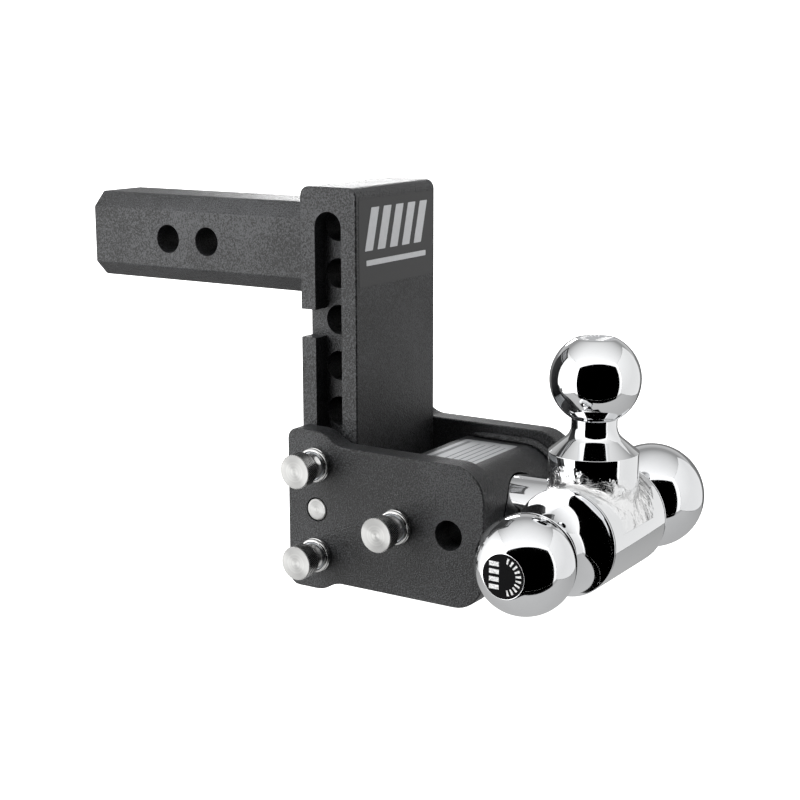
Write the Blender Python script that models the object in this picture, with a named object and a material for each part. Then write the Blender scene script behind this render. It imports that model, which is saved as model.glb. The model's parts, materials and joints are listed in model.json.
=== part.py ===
"""Adjustable trailer hitch with three balls on one turned head.

A square shank plugs into a receiver tube and carries an upright column. A
two-plate carriage sits on the column, held by two cross pins. A housing between
the plates takes the ball head's shaft, held by a third pin.

Frame: X points rearward, away from the vehicle, Y to the far side and Z up. The
origin is on the shank's axis, at its forward hitch-pin hole. Units are metres.
"""
import math

import bmesh
import bpy
from mathutils import Matrix

MM = 0.001
GAP = 0.3 * MM                      # between faces that touch

# Shank: 2 inch receiver bar with chamfered long edges and two hitch-pin holes
SHANK_SIDE = 50.3 * MM
SHANK_CHAMFER = 8.6 * MM
SHANK_FRONT_X = -57.3 * MM
SHANK_HOLE_R = 8.2 * MM
SHANK_HOLE_PITCH = 28.7 * MM
SHANK_WELD_PREP = 6.0 * MM          # bevel round the shank's rear end, filled by the weld

# Column: block with a blind slot down each side and cross holes on a 1 inch pitch
COLUMN_X = 123.9 * MM
COLUMN_DEPTH = 36.4 * MM
COLUMN_WIDTH = 79.4 * MM
COLUMN_TOP_Z = 36.0 * MM
COLUMN_CORNER_R = 5.2 * MM
HOLE_PITCH = 25.4 * MM
COLUMN_HOLES = 8
LOWER_PIN_Z = -163.4 * MM
COLUMN_BOTTOM_Z = LOWER_PIN_Z - 17.0 * MM
SLOT_HALF_WIDTH = 8.55 * MM
SLOT_DEPTH = 10.2 * MM
NOTCH_Z = LOWER_PIN_Z + 125.2 * MM
NOTCH_HEIGHT = 15.4 * MM

# Carriage: two side plates, tallest at the column, with a housing between them
AXIS_Z = -139.4 * MM                # the ball head's shaft and barrel
PLATE_INNER_Y = 40.0 * MM
PLATE_T = 12.7 * MM
PLATE_OUTER_Y = PLATE_INNER_Y + PLATE_T
PLATE_FRONT_X = COLUMN_X - 19.0 * MM
PLATE_REAR_X = COLUMN_X + 104.4 * MM
PLATE_TOP, PLATE_BOTTOM = 38.0 * MM, -38.7 * MM     # above and below the head's axis
EAR_TOP, EAR_BOTTOM = 45.2 * MM, -43.9 * MM
EAR_CORNER_R = 6.0 * MM
EAR_END_X = COLUMN_X - 1.0 * MM     # where the ear starts to fall to the plate's height
EAR_CURVE_R = 15.7 * MM
REAR_CORNER_R = 18.0 * MM
BALL_PIN_X = COLUMN_X + 51.6 * MM
SPARE_HOLE_X = COLUMN_X + 83.5 * MM
HOUSING_FRONT_X = COLUMN_X + 41.5 * MM
HOUSING_REAR_X = COLUMN_X + 99.5 * MM
HOUSING_HALF_HEIGHT = 29.7 * MM
HOUSING_SHOULDER_R = 20.0 * MM
HOUSING_BORE_R = 23.4 * MM
WELD_LEG = 4.2 * MM

# Pins: 5/8 inch, each with a collar, a knurled knob and a rubber ring near its tip
PIN_R = 7.8 * MM
PIN_HOLE_R = 8.15 * MM
PIN_TIP_Y = PLATE_OUTER_Y + 3.8 * MM
COLLAR_R = 9.45 * MM
COLLAR_LENGTH = 4.2 * MM
KNOB_R = 9.4 * MM
KNOB_NECK_R = 7.2 * MM
KNOB_NECK_LENGTH = 6.8 * MM
KNOB_LENGTH = 8.6 * MM
RING_MINOR_R = 0.85 * MM
RING_MAJOR_R = 7.15 * MM
RING_Y = PLATE_OUTER_Y - 3.5 * MM
GUIDE_R = 6.2 * MM
GUIDE_HOLE_R = 6.75 * MM

# Ball head: shaft along X, barrel along Y and three balls
BARREL_X = COLUMN_X + 140.0 * MM
BARREL_R = 28.3 * MM
BARREL_HALF = 30.8 * MM
SHAFT_R = 22.8 * MM
SHAFT_FRONT_X = HOUSING_FRONT_X + 2.0 * MM
BALL_TOP_R = 23.8 * MM              # 1-7/8 inch
BALL_NEAR_R = 25.4 * MM             # 2 inch
BALL_FAR_R = 29.35 * MM             # 2-5/16 inch
BALL_TOP_HEIGHT = 80.0 * MM         # centre above the barrel's axis
BALL_NEAR_OUT = 74.0 * MM
BALL_FAR_OUT = 77.4 * MM
TOP_BASE_R = 22.0 * MM              # the skirt runs down into a round base this wide
TOP_WELD_LEG = 3.4 * MM
SHAFT_WELD_LEG = 3.0 * MM

HOLE_STEPS = 32
ROUND_STEPS = 32
PIN_STEPS = 24


def arc(cx, cy, r, start, end, steps):
    """Points along an arc, angles in degrees."""
    angles = [math.radians(start + (end - start) * i / steps) for i in range(steps + 1)]
    return [(cx + r * math.cos(a), cy + r * math.sin(a)) for a in angles]


def material(name, colour, roughness, metallic):
    mat = bpy.data.materials.new(name)
    mat.use_nodes = True
    shader = mat.node_tree.nodes["Principled BSDF"]
    shader.inputs["Base Color"].default_value = (*colour, 1.0)
    shader.inputs["Roughness"].default_value = roughness
    shader.inputs["Metallic"].default_value = metallic
    mat.diffuse_color = (*colour, 1.0)
    return mat


def finish(name, bm, mat, origin=(0, 0, 0)):
    """Turn a bmesh into a named object whose own origin is at the given point."""
    bmesh.ops.remove_doubles(bm, verts=bm.verts, dist=1e-7)
    bmesh.ops.recalc_face_normals(bm, faces=bm.faces)
    bm.transform(Matrix.Translation([-v for v in origin]))
    mesh = bpy.data.meshes.new(name)
    bm.to_mesh(mesh)
    bm.free()
    mesh.shade_smooth()
    mesh.set_sharp_from_angle(angle=math.radians(32))
    mesh.materials.append(mat)
    obj = bpy.data.objects.new(name, mesh)
    obj.location = origin
    bpy.context.scene.collection.objects.link(obj)
    return obj


def prism(outline, low, high, to_point):
    """Extrude a closed outline of (u, v) points from low to high along w."""
    bm = bmesh.new()
    face = bm.faces.new([bm.verts.new(to_point(u, v, low)) for u, v in outline])
    raised = bmesh.ops.extrude_face_region(bm, geom=[face])["geom"]
    moved = [item for item in raised if isinstance(item, bmesh.types.BMVert)]
    step = [b - a for a, b in zip(to_point(0, 0, low), to_point(0, 0, high))]
    bmesh.ops.translate(bm, verts=moved, vec=step)
    return bm


def along_y(u, v, w):
    return (u, w, v)


def along_x(u, v, w):
    return (w, u, v)


def turned(profile, axis_matrix, steps=ROUND_STEPS):
    """Spin (radius, height) points about Z, then place the result."""
    bm = bmesh.new()
    verts = [bm.verts.new((r, 0, h)) for r, h in profile]
    edges = [bm.edges.new(pair) for pair in zip(verts, verts[1:])]
    if profile[0][0] > 0:
        edges.append(bm.edges.new((verts[-1], verts[0])))
    bmesh.ops.spin(bm, geom=verts + edges, axis=(0, 0, 1), cent=(0, 0, 0),
                   steps=steps, angle=2 * math.pi)
    bm.transform(axis_matrix)
    return bm


def upright(x, y, z):
    return Matrix.Translation((x, y, z))


def facing_y(x, y, z, sign):
    """Height runs along +Y or -Y from the given point."""
    return Matrix.Translation((x, y, z)) @ Matrix.Rotation(-sign * math.pi / 2, 4, "X")


def facing_x(x, y, z):
    return Matrix.Translation((x, y, z)) @ Matrix.Rotation(math.pi / 2, 4, "Y")


def cut(obj, bm, name):
    """Subtract a closed shape, kept as a hidden cutter object."""
    cutter = finish(obj.name + "_cut_" + name, bm, obj.data.materials[0])
    cutter.hide_render = True
    cutter.display_type = "WIRE"
    modifier = obj.modifiers.new("cut_" + name, "BOOLEAN")
    modifier.operation = "DIFFERENCE"
    modifier.solver = "EXACT"
    modifier.object = cutter


def cross_hole(obj, name, x, z, r, low=-0.1, high=0.1):
    """Cut a round hole along Y."""
    circle = arc(x, z, r, 0, 360 * (1 - 1 / HOLE_STEPS), HOLE_STEPS - 1)
    cut(obj, prism(circle, low, high, along_y), name)


def soften(obj, width, segments=1):
    bevel = obj.modifiers.new("soften", "BEVEL")
    bevel.width = width
    bevel.segments = segments
    bevel.limit_method = "ANGLE"
    bevel.angle_limit = math.radians(40)


def build_shank(coat):
    half = SHANK_SIDE / 2
    flat = half - SHANK_CHAMFER
    corner = [(half, flat), (flat, half)]
    outline = corner + [(-u, v) for u, v in corner[::-1]]
    outline += [(-u, -v) for u, v in outline]
    rear_x = COLUMN_X - COLUMN_DEPTH / 2 - GAP
    bm = bmesh.new()
    loops = []
    for x, inset in ((SHANK_FRONT_X, 0), (rear_x - SHANK_WELD_PREP, 0), (rear_x, SHANK_WELD_PREP)):
        scale = 1 - inset / half
        loops.append([bm.verts.new((x, u * scale, v * scale)) for u, v in outline])
    for first, second in zip(loops, loops[1:]):
        skin(bm, first, second)
    bm.faces.new(loops[0])
    bm.faces.new(loops[-1])
    shank = finish("shank", bm, coat)
    soften(shank, 0.8 * MM)
    for index in range(2):
        cross_hole(shank, f"pin_{index}", index * SHANK_HOLE_PITCH, 0, SHANK_HOLE_R)


def build_shank_weld(coat):
    """Crowned bead that fills the bevel round the shank's rear end."""
    half = SHANK_SIDE / 2
    flat = half - SHANK_CHAMFER
    ring = [(half, flat), (flat, half), (-flat, half), (-half, flat)]
    ring += [(-u, -v) for u, v in ring]
    face_x = COLUMN_X - COLUMN_DEPTH / 2 - GAP
    clear = SHANK_WELD_PREP - 2 * GAP
    crown = 0.8 * MM
    bm = bmesh.new()
    loops = []
    for grow, back in ((-clear, 0), (crown, 0), (crown, clear / 2), (0, clear)):
        scale = 1 + grow / half
        loops.append([bm.verts.new((face_x - back, u * scale, v * scale)) for u, v in ring])
    join_rings(bm, loops)
    finish("shank_weld", bm, coat)


def skin(bm, first, second):
    for i in range(len(first)):
        j = (i + 1) % len(first)
        bm.faces.new((first[i], first[j], second[j], second[i]))


def join_rings(bm, loops):
    """Skin equal closed loops into one tube that closes on itself."""
    for first, second in zip(loops, loops[1:] + loops[:1]):
        skin(bm, first, second)


def build_column(coat):
    half = COLUMN_DEPTH / 2
    left, right = COLUMN_X - half, COLUMN_X + half
    top = COLUMN_TOP_Z - COLUMN_CORNER_R
    outline = [(left, COLUMN_BOTTOM_Z), (right, COLUMN_BOTTOM_Z)]
    outline += arc(right - COLUMN_CORNER_R, top, COLUMN_CORNER_R, 0, 90, 6)
    outline += arc(left + COLUMN_CORNER_R, top, COLUMN_CORNER_R, 90, 180, 6)
    bm = prism(outline, -COLUMN_WIDTH / 2, COLUMN_WIDTH / 2, along_y)
    column = finish("column", bm, coat)
    soften(column, 0.6 * MM)
    top_hole_z = LOWER_PIN_Z + (COLUMN_HOLES - 1) * HOLE_PITCH
    slot = arc(COLUMN_X, top_hole_z, SLOT_HALF_WIDTH, 0, 180, 16)
    slot += arc(COLUMN_X, LOWER_PIN_Z, SLOT_HALF_WIDTH, 180, 360, 16)
    notch_low, notch_high = NOTCH_Z - NOTCH_HEIGHT / 2, NOTCH_Z + NOTCH_HEIGHT / 2
    notch = [(left - 5 * MM, notch_low), (COLUMN_X, notch_low)]
    notch += [(COLUMN_X, notch_high), (left - 5 * MM, notch_high)]
    floor_y = COLUMN_WIDTH / 2 - SLOT_DEPTH
    for side, low, high in (("near", -0.06, -floor_y), ("far", floor_y, 0.06)):
        cut(column, prism(slot, low, high, along_y), "slot_" + side)
        cut(column, prism(notch, low, high, along_y), "notch_" + side)
    for index in range(COLUMN_HOLES):
        cross_hole(column, f"hole_{index}", COLUMN_X, LOWER_PIN_Z + index * HOLE_PITCH, PIN_HOLE_R)


def plate_edge(ear, rear):
    """Half of a side plate's outline, from its front edge over the ear to its rear edge."""
    turn = math.degrees(math.acos(1 - (ear - rear) / (2 * EAR_CURVE_R)))
    curve_end_x = EAR_END_X + 2 * EAR_CURVE_R * math.sin(math.radians(turn))
    edge = arc(PLATE_FRONT_X + EAR_CORNER_R, ear - EAR_CORNER_R, EAR_CORNER_R, 180, 90, 5)
    edge += arc(EAR_END_X, ear - EAR_CURVE_R, EAR_CURVE_R, 90, 90 - turn, 5)
    edge += arc(curve_end_x, rear + EAR_CURVE_R, EAR_CURVE_R, 270 - turn, 270, 5)[1:]
    return edge + arc(PLATE_REAR_X - REAR_CORNER_R, rear - REAR_CORNER_R, REAR_CORNER_R, 90, 0, 10)


def plate_outline():
    """Side plate, seen along Y: ears at the column, round corners at the rear."""
    upper = plate_edge(EAR_TOP, PLATE_TOP)
    lower = [(x, -z) for x, z in reversed(plate_edge(-EAR_BOTTOM, -PLATE_BOTTOM))]
    return [(x, AXIS_Z + z) for x, z in upper + lower]


def build_plates(coat):
    outline = plate_outline()
    guide_z = LOWER_PIN_Z + HOLE_PITCH
    for side, sign in (("near", -1), ("far", 1)):
        low, high = sorted((sign * PLATE_INNER_Y, sign * PLATE_OUTER_Y))
        plate = finish("plate_" + side, prism(outline, low, high, along_y), coat)
        soften(plate, 0.6 * MM)
        cross_hole(plate, "lower_pin", COLUMN_X, LOWER_PIN_Z, PIN_HOLE_R)
        cross_hole(plate, "upper_pin", COLUMN_X, LOWER_PIN_Z + 2 * HOLE_PITCH, PIN_HOLE_R)
        cross_hole(plate, "ball_pin", BALL_PIN_X, AXIS_Z, PIN_HOLE_R)
        cross_hole(plate, "spare", SPARE_HOLE_X, AXIS_Z, PIN_HOLE_R)
        cross_hole(plate, "guide", COLUMN_X, guide_z, GUIDE_HOLE_R)


def housing_outline(offset):
    """Housing seen along Y, grown by an offset, open at its front face."""
    r = HOUSING_SHOULDER_R
    cx = HOUSING_REAR_X - r
    cz = HOUSING_HALF_HEIGHT - r
    upper = [(HOUSING_FRONT_X, HOUSING_HALF_HEIGHT + offset)]
    upper += arc(cx, cz, r + offset, 90, 0, 12)
    lower = [(x, -z) for x, z in reversed(upper)]
    return [(x, AXIS_Z + z) for x, z in upper + lower]


def build_housing(coat):
    half = PLATE_INNER_Y - GAP
    housing = finish("housing", prism(housing_outline(0), -half, half, along_y), coat)
    bore = [(HOUSING_BORE_R, 0.1), (HOUSING_BORE_R, -0.1)]
    profile = [(0, 0.1)] + bore + [(0, -0.1)]
    cut(housing, turned(profile, facing_x(HOUSING_FRONT_X, 0, AXIS_Z), 48), "bore")
    cross_hole(housing, "ball_pin", BALL_PIN_X, AXIS_Z, PIN_HOLE_R)
    cross_hole(housing, "spare", SPARE_HOLE_X, AXIS_Z, PIN_HOLE_R)


def build_housing_welds(coat):
    """One fillet bead a side, over the housing's top, round its rear and underneath."""
    inset = 3.0 * MM
    for side, sign in (("near", -1), ("far", 1)):
        wall = sign * (PLATE_INNER_Y - GAP)
        bm = bmesh.new()
        corner, up, bulge, out = [], [], [], []
        rows = ((corner, GAP, 0), (up, GAP + WELD_LEG, 0),
                (bulge, GAP + 0.62 * WELD_LEG, 0.62 * WELD_LEG), (out, GAP, WELD_LEG))
        for row, offset, inward in rows:
            path = housing_outline(offset)
            path[0] = (path[0][0] + inset, path[0][1])
            path[-1] = (path[-1][0] + inset, path[-1][1])
            row += [bm.verts.new((x, wall - sign * inward, z)) for x, z in path]
        ring = [corner, up, bulge, out]
        for first, second in zip(ring, ring[1:] + ring[:1]):
            for i in range(len(first) - 1):
                bm.faces.new((first[i], first[i + 1], second[i + 1], second[i]))
        for end in (0, -1):
            bm.faces.new([row[end] for row in ring])
        finish("housing_weld_" + side, bm, coat)


def build_guides(steel):
    """Buttons through the plates that run in the column's slots."""
    z = LOWER_PIN_Z + HOLE_PITCH
    inner = COLUMN_WIDTH / 2 - SLOT_DEPTH + 2 * MM
    length = PLATE_OUTER_Y + 0.2 * MM - inner
    for side, sign in (("near", -1), ("far", 1)):
        edge = GUIDE_R - 0.6 * MM
        profile = [(0, length), (edge, length), (GUIDE_R, length - 0.5 * MM), (GUIDE_R, 0), (0, 0)]
        placed = facing_y(COLUMN_X, sign * inner, z, sign)
        finish("guide_" + side, turned(profile, placed), steel)


def build_pin(name, x, z, steel, bright, rubber):
    """A pin with its collar, knob and ring; heights run from the head to the tip."""
    head_y = -PLATE_OUTER_Y - GAP
    origin = (x, 0, z)
    placed = facing_y(x, head_y, z, 1)
    pin_end = -COLLAR_LENGTH
    tip = PIN_TIP_Y - head_y
    ring = RING_Y - head_y
    groove = RING_MINOR_R + GAP
    floor_r = RING_MAJOR_R - RING_MINOR_R - GAP
    pin = [(0, tip), (5.6 * MM, tip), (PIN_R, tip - 2.2 * MM), (PIN_R, ring + groove),
           (floor_r, ring + groove), (floor_r, ring - groove), (PIN_R, ring - groove),
           (PIN_R, pin_end), (0, pin_end)]
    finish("pin_" + name, turned(pin, placed, PIN_STEPS), steel, origin)
    bore_r = PIN_R + GAP
    lip = 1.2 * MM
    collar = [(COLLAR_R - lip, pin_end), (bore_r, pin_end), (bore_r, 0), (COLLAR_R - 0.4 * MM, 0),
              (COLLAR_R, -0.4 * MM), (COLLAR_R, pin_end + lip)]
    finish("collar_" + name, turned(collar[::-1], placed, PIN_STEPS), bright, origin)
    neck = pin_end - GAP
    rim = neck - KNOB_NECK_LENGTH
    face = rim - KNOB_LENGTH
    edge = 0.7 * MM
    knob = [(0, neck), (KNOB_NECK_R, neck), (KNOB_NECK_R, rim), (KNOB_R - edge, rim), (KNOB_R, rim - edge),
            (KNOB_R, face + edge), (KNOB_R - edge, face), (0, face)]
    finish("knob_" + name, turned(knob, placed, PIN_STEPS), bright, origin)
    circle = arc(RING_MAJOR_R, ring, RING_MINOR_R, 90, 90 - 360 * 5 / 6, 5)
    finish("ring_" + name, turned(circle, placed, PIN_STEPS), rubber, origin)


def ball_profile(r, flat_r, neck_r, skirt_r, skirt_out, base_out):
    """Ball, neck and flared skirt; distances out are measured down from the ball's centre."""
    flat_angle = math.degrees(math.acos(flat_r / r))
    neck_angle = -math.degrees(math.acos(neck_r / r))
    flare = skirt_r - neck_r
    profile = [(0, r * math.sin(math.radians(flat_angle)))]
    profile += arc(0, 0, r, flat_angle, neck_angle, 14)
    profile += arc(skirt_r, -skirt_out + flare, flare, 180, 270, 6)
    return profile + [(skirt_r, -base_out), (0, -base_out)]


def barrel_shape(radius, half):
    profile = [(0, half), (radius, half), (radius, -half), (0, -half)]
    return turned(profile, facing_y(BARREL_X, 0, AXIS_Z, 1), 64)


def build_ball_head(chrome):
    finish("barrel", barrel_shape(BARREL_R, BARREL_HALF), chrome)
    saddle_r = BARREL_R + GAP

    length = BARREL_X - SHAFT_FRONT_X
    edge = 1.5 * MM
    profile = [(0, length), (SHAFT_R, length), (SHAFT_R, edge), (SHAFT_R - edge, 0), (0, 0)]
    shaft = finish("ball_shaft", turned(profile, facing_x(SHAFT_FRONT_X, 0, AXIS_Z), 48), chrome)
    cut(shaft, barrel_shape(saddle_r, 0.05), "saddle")
    cross_hole(shaft, "ball_pin", BALL_PIN_X, AXIS_Z, PIN_HOLE_R)
    cross_hole(shaft, "spare", SPARE_HOLE_X, AXIS_Z, PIN_HOLE_R)

    base_room = TOP_BASE_R + GAP
    profile = [(0, BALL_TOP_HEIGHT), (base_room, BALL_TOP_HEIGHT), (base_room, 0), (0, 0)]
    cut(shaft, turned(profile, upright(BARREL_X, 0, AXIS_Z), 48), "top_base")

    top = ball_profile(BALL_TOP_R, 10.4 * MM, 12.0 * MM, TOP_BASE_R, 38.0 * MM, BALL_TOP_HEIGHT - 5 * MM)
    placed = upright(BARREL_X, 0, AXIS_Z + BALL_TOP_HEIGHT)
    ball_top = finish("ball_top", turned(top, placed), chrome)
    cut(ball_top, barrel_shape(saddle_r, 0.05), "saddle")

    sides = (("near", -1, BALL_NEAR_R, BALL_NEAR_OUT, 12.9 * MM), ("far", 1, BALL_FAR_R, BALL_FAR_OUT, 14.0 * MM))
    for side, sign, r, out, neck_r in sides:
        rim_out = out - BARREL_HALF - GAP
        profile = ball_profile(r, 12.0 * MM, neck_r, BARREL_R, rim_out - 1.2 * MM, rim_out)
        placed = facing_y(BARREL_X, sign * out, AXIS_Z, sign)
        finish("ball_" + side, turned(profile, placed), chrome)


def saddle_bead(name, branch_r, leg, to_point, mat):
    """Weld bead where a round branch meets the barrel's curved side.

    t is the angle about the branch. The barrel falls away where cos(t) is large.
    """
    steps = 40
    bm = bmesh.new()
    inner = branch_r + GAP
    main_r = BARREL_R + GAP
    loops = []
    for grow, lift in ((0, 0), (leg, 0), (0.66 * leg, 0.66 * leg), (0, leg)):
        loop = []
        for i in range(steps):
            t = 2 * math.pi * i / steps
            rho = inner + grow
            height = math.sqrt(main_r ** 2 - (rho * math.cos(t)) ** 2) + lift
            loop.append(bm.verts.new(to_point(rho * math.cos(t), rho * math.sin(t), height)))
        loops.append(loop)
    join_rings(bm, loops)
    return finish(name, bm, mat)


def build_ball_head_welds(bead):
    """The two beads would cross above the shaft, so each one stops short of the other."""
    def above(u, v, h):
        return (BARREL_X + u, v, AXIS_Z + h)

    def ahead(u, v, h):
        return (BARREL_X - h, v, AXIS_Z + u)

    top_weld = saddle_bead("ball_top_weld", TOP_BASE_R, TOP_WELD_LEG, above, bead)
    shaft_room = SHAFT_R + GAP
    profile = [(0, BARREL_R), (shaft_room, BARREL_R), (shaft_room, 0), (0, 0)]
    cut(top_weld, turned(profile, facing_x(BARREL_X - BARREL_R, 0, AXIS_Z), 48), "shaft")
    shaft_weld = saddle_bead("shaft_weld", SHAFT_R, SHAFT_WELD_LEG, ahead, bead)
    weld_room = TOP_BASE_R + GAP + TOP_WELD_LEG + GAP
    profile = [(0, BALL_TOP_HEIGHT), (weld_room, BALL_TOP_HEIGHT), (weld_room, 0), (0, 0)]
    cut(shaft_weld, turned(profile, upright(BARREL_X, 0, AXIS_Z), 48), "top_weld")


def build():
    for obj in list(bpy.data.objects):
        bpy.data.objects.remove(obj, do_unlink=True)
    coat = material("black_powder_coat", (0.022, 0.023, 0.025), 0.55, 0.0)
    chrome = material("polished_chrome", (0.62, 0.62, 0.63), 0.05, 1.0)
    bead = material("ground_weld_chrome", (0.58, 0.58, 0.58), 0.3, 1.0)
    steel = material("zinc_plated_pin_steel", (0.52, 0.52, 0.52), 0.25, 1.0)
    bright = material("turned_stainless_steel", (0.66, 0.66, 0.67), 0.22, 1.0)
    rubber = material("black_rubber", (0.02, 0.02, 0.02), 0.7, 0.0)

    build_shank(coat)
    build_shank_weld(coat)
    build_column(coat)
    build_plates(coat)
    build_housing(coat)
    build_housing_welds(coat)
    build_guides(bright)
    build_pin("lower", COLUMN_X, LOWER_PIN_Z, steel, bright, rubber)
    build_pin("upper", COLUMN_X, LOWER_PIN_Z + 2 * HOLE_PITCH, steel, bright, rubber)
    build_pin("ball", BALL_PIN_X, AXIS_Z, steel, bright, rubber)
    build_ball_head(chrome)
    build_ball_head_welds(bead)


build()
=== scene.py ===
"""Adjustable trailer hitch with three chrome balls: finished pieces, light, floor and camera.

Metres throughout, in the CAD frame: X rearward, Y to the far side, Z up.
"""
import json
import math

import bpy
from mathutils import Matrix, Vector


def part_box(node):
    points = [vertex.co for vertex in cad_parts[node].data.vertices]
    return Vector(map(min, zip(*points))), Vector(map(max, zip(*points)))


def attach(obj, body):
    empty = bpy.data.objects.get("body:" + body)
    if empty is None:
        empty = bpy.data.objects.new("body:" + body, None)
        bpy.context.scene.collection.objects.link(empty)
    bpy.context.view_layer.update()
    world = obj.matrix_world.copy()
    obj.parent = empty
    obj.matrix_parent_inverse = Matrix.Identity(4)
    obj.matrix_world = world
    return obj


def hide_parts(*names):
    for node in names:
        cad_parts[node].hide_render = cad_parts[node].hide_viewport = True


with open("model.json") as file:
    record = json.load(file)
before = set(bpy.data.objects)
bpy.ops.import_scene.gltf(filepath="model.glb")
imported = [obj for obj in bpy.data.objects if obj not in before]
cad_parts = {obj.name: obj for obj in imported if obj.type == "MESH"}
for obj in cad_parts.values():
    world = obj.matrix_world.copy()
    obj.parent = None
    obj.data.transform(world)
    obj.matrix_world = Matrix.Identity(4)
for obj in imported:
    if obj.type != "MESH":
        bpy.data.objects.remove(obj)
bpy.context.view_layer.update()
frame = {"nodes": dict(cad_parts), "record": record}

MM = 0.001
NODES = frame["nodes"]

TOWARDS_NEAR, TOWARDS_FAR = Vector((0, -1, 0)), Vector((0, 1, 0))
UP, REARWARD, FORWARD = Vector((0, 0, 1)), Vector((1, 0, 0)), Vector((-1, 0, 0))

barrel_low, barrel_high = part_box("barrel")
BARREL_CENTRE = (barrel_low + barrel_high) / 2
BARREL_R = (barrel_high - barrel_low).z / 2
BARREL_HALF = (barrel_high - barrel_low).y / 2
base_low, base_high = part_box("ball_top")
TOP_BASE_R = (base_high - base_low).y / 2
shaft_low, shaft_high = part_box("ball_shaft")
SHAFT_R = (shaft_high - shaft_low).z / 2
TOUCH = 0.03 * MM                   # the gap that touching pieces keep
TOP_WELD_LEG, SHAFT_WELD_LEG = 3.4 * MM, 3.0 * MM


# ---------------------------------------------------------------- materials

def colour(hex_code):
    """sRGB hex to the linear colour that the shader wants."""
    parts = [int(hex_code[i:i + 2], 16) / 255 for i in (1, 3, 5)]
    linear = [p / 12.92 if p <= 0.04045 else ((p + 0.055) / 1.055) ** 2.4 for p in parts]
    return (*linear, 1.0)


def node(mat, kind, settings=(), links=()):
    """Adds one node, sets its inputs or properties by name and links its inputs."""
    made = mat.node_tree.nodes.new(kind)
    for name, value in dict(settings).items():
        if not isinstance(name, int) and hasattr(made, name):
            setattr(made, name, value)
        else:
            made.inputs[name].default_value = value
    for name, source in dict(links).items():
        mat.node_tree.links.new(source, made.inputs[name])
    return made


def per_mm(size_mm):
    """Pattern scale for a feature of this real size."""
    return 1000.0 / size_mm


def new_material(name):
    """A new material, its shader, and the place of each point in metres."""
    mat = bpy.data.materials.new(name)
    mat.use_nodes = True
    shader = mat.node_tree.nodes["Principled BSDF"]
    place = node(mat, "ShaderNodeTexCoord").outputs["Object"]
    return mat, shader, place


def dress(mat, shader, tone, gloss, metallic=0.0, **others):
    """Links tone to the colour, gloss to the roughness and others by name, and says how metallic the surface is."""
    sources = {"Base Color": tone.outputs["Color"], "Roughness": gloss.outputs["Result"], **others}
    for name, source in sources.items():
        mat.node_tree.links.new(source, shader.inputs[name])
    shader.inputs["Metallic"].default_value = metallic


def powder_coated_steel():
    """Polyester powder baked on steel: satin black with a fine orange-peel grain, its pits painted darker as painted
    shade.
    """
    mat, shader, place = new_material("powder_coated_steel")
    # the grain of the real coat is 0.3 mm and wouldn't show, so it is drawn at 0.8 mm
    grain = node(mat, "ShaderNodeTexNoise", {"Scale": per_mm(0.8), "Detail": 1.0, "Roughness": 0.6}, {"Vector": place})
    cloud = node(mat, "ShaderNodeTexNoise", {"Scale": per_mm(45), "Detail": 2.0}, {"Vector": place})
    # the tone follows the peel's bump height, so its pits are painted darker as painted shade; the 45 mm cloud is
    # random tone
    peel_shade_and_cloud_tone = node(mat, "ShaderNodeMath", {"operation": "MULTIPLY_ADD", 1: 0.75},
                 {0: grain.outputs["Fac"], 2: node(mat, "ShaderNodeMath", {"operation": "MULTIPLY", 1: 0.25},
                                                   {0: cloud.outputs["Fac"]}).outputs[0]})
    tone = node(mat, "ShaderNodeValToRGB", (), {"Fac": peel_shade_and_cloud_tone.outputs[0]})
    tone.color_ramp.elements[0].position, tone.color_ramp.elements[1].position = 0.44, 0.60
    tone.color_ramp.elements[0].color = colour("#020202")
    tone.color_ramp.elements[1].color = colour("#38393b")
    gloss = node(mat, "ShaderNodeMapRange", {"To Min": 0.30, "To Max": 0.44}, {"Value": grain.outputs["Fac"]})
    peel = node(mat, "ShaderNodeBump", {"Strength": 1.0, "Distance": 0.42 * MM}, {"Height": grain.outputs["Fac"]})
    dress(mat, shader, tone, gloss, Normal=peel.outputs["Normal"])
    return mat


def chrome_plated_steel():
    """Buffed steel under bright chrome: a mirror with very faint haze and waviness."""
    mat, shader, place = new_material("chrome_plated_steel")
    haze = node(mat, "ShaderNodeTexNoise", {"Scale": per_mm(18), "Detail": 4.0, "Roughness": 0.65}, {"Vector": place})
    tone = node(mat, "ShaderNodeMixRGB", {"Color1": colour("#dcdddf"), "Color2": colour("#e9eaeb")},
                {"Fac": haze.outputs["Fac"]})
    gloss = node(mat, "ShaderNodeMapRange", {"From Min": 0.35, "From Max": 0.75, "To Min": 0.035, "To Max": 0.085},
                 {"Value": haze.outputs["Fac"]})
    wave = node(mat, "ShaderNodeTexNoise", {"Scale": per_mm(14), "Detail": 1.0}, {"Vector": place})
    lie = node(mat, "ShaderNodeBump", {"Strength": 0.12, "Distance": 0.25 * MM}, {"Height": wave.outputs["Fac"]})
    dress(mat, shader, tone, gloss, 1.0, Normal=lie.outputs["Normal"])
    return mat


def length_across(mat, place, centre, keep):
    """Distance from a line through a point; keep zeroes the line's own direction."""
    off = node(mat, "ShaderNodeVectorMath", {"operation": "SUBTRACT", 1: centre}, {0: place})
    flat = node(mat, "ShaderNodeVectorMath", {"operation": "MULTIPLY", 1: keep}, {0: off.outputs["Vector"]})
    return node(mat, "ShaderNodeVectorMath", {"operation": "LENGTH"}, {0: flat.outputs["Vector"]}).outputs["Value"]


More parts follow.
